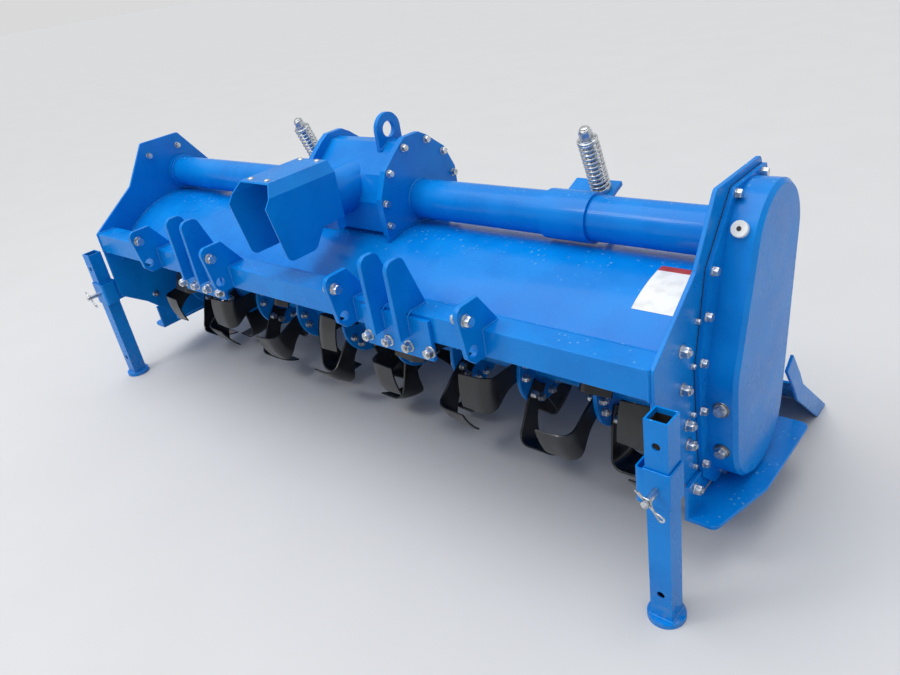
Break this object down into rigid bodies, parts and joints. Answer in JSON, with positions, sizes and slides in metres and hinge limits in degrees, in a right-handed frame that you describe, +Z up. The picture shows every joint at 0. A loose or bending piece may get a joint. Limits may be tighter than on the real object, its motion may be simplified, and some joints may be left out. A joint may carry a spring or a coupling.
{
  "type": "rotavator",
  "caption": "Tractor-mounted rotavator: hooded bladed rotor, side drive case, top gearbox with shaft guard, sprung trailing board, skids and sliding parking legs.",
  "frame": {"origin": "on the ground under the middle of the whole machine's box, as parked", "axes": "+X towards the side-drive case, +Y towards the trailing board with the tractor on -Y, +Z up"},
  "size_m": [2.514, 1.014, 0.962],
  "materials": {
    "blue_paint": "gloss powder coat over welded steel",
    "blade_steel": "satin black dip paint on forged blades, blue discs",
    "zinc_plate": "bright zinc plate",
    "machined_steel": "machined and oiled",
    "gasket": "dark fibre gasket",
    "cap_plastic": "moulded white"
  },
  "bodies": {
    "frame": {"front_beam": "blue_paint", "left_side_plate": "blue_paint", "right_side_plate": "blue_paint", "hood_deck": "blue_paint", "rear_rail": "blue_paint", "left_top_tube": "blue_paint", "right_top_tube": "blue_paint", "gearbox_housing": "blue_paint", "gearbox_cradle": "blue_paint", "lifting_eye": "blue_paint", "pto_guard": "blue_paint", "inner_hitch_ears": "blue_paint", "outer_hitch_ears": "blue_paint", "rib_brackets": "blue_paint", "side_case_gasket": "gasket", "side_case_cover": "blue_paint", "oil_cap": "cap_plastic", "left_skid": "blue_paint", "right_skid": "blue_paint", "left_leg_socket": "blue_paint", "right_leg_socket": "blue_paint", "leg_pins": "zinc_plate", "rotor_bearings": "blue_paint", "left_bearing_cap": "blue_paint", "left_rod_guide": "blue_paint", "right_rod_guide": "blue_paint"},
    "rotor": {"rotor_tube": "blue_paint", "rotor_blade_discs": "blade_steel"},
    "input": {"input_shaft": "machined_steel"},
    "trailing_board": {"trailing_board": "blue_paint", "board_end_straps": "blue_paint", "board_rod_lugs": "blue_paint"},
    "left_leg": {"left_leg": "blue_paint"},
    "right_leg": {"right_leg": "blue_paint"},
    "left_rod": {"left_spring_rod": "zinc_plate", "left_spring": "zinc_plate"},
    "right_rod": {"right_spring_rod": "zinc_plate", "right_spring": "zinc_plate"}
  },
  "joints": [
    {"name": "rotor_spin", "type": "hinge", "parent": "frame", "child": "rotor", "pos_m": [0, -0.037, 0.295], "axis": [1, 0, 0], "continuous": true},
    {"name": "input_spin", "type": "hinge", "parent": "frame", "child": "input", "pos_m": [0.011, -0.3645, 0.77], "axis": [0, 1, 0], "continuous": true},
    {"name": "board_lift", "type": "hinge", "parent": "frame", "child": "trailing_board", "pos_m": [0, 0.158, 0.55553], "axis": [1, 0, 0], "range_deg": [0, 35], "stiffness_Nm_per_rad": 400, "springref_deg": -103.13},
    {"name": "left_rod_swing", "type": "hinge", "parent": "trailing_board", "child": "left_rod", "pos_m": [-0.353, 0.268, 0.33], "axis": [1, 0, 0], "range_deg": [-17, 0]},
    {"name": "right_rod_swing", "type": "hinge", "parent": "trailing_board", "child": "right_rod", "pos_m": [0.74, 0.268, 0.33], "axis": [1, 0, 0], "range_deg": [-17, 0]},
    {"name": "left_leg_slide", "type": "slide", "parent": "frame", "child": "left_leg", "axis": [0, 0, 1], "range_m": [0, 0.2885]},
    {"name": "right_leg_slide", "type": "slide", "parent": "frame", "child": "right_leg", "axis": [0, 0, 1], "range_m": [0, 0.2885]}
  ],
  "couplings": [
    {"joint": "input_spin", "follows": "rotor_spin", "ratio": 2.45},
    {"joint": "left_rod_swing", "follows": "board_lift", "ratio": -0.4295},
    {"joint": "right_rod_swing", "follows": "board_lift", "ratio": -0.4295}
  ]
}
